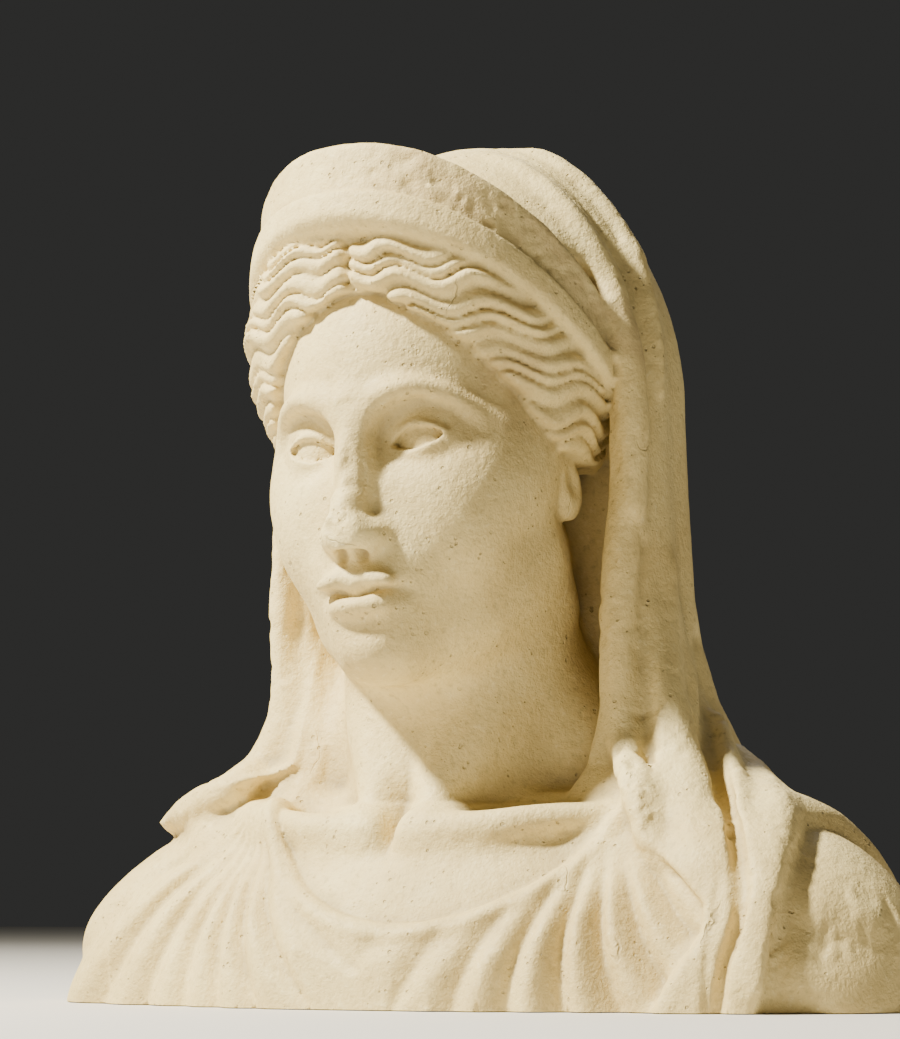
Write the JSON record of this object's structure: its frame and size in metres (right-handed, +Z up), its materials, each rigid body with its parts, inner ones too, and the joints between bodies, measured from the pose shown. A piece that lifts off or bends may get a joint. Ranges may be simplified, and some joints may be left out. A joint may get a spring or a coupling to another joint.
{
  "type": "veiled stone bust",
  "caption": "Marble bust of a veiled woman with an upright diadem over parted wavy hair, in a folded dress, cut off flat below the shoulders.",
  "frame": {"origin": "middle of the bounding box, on the flat underside", "axes": "+Z up, the bust faces -Y, and its left shoulder is towards +X"},
  "size_m": [0.5126, 0.2708, 0.4671],
  "materials": {
    "marble": "matte"
  },
  "bodies": {
    "root": {"veiled_bust": "marble"}
  },
  "joints": []
}
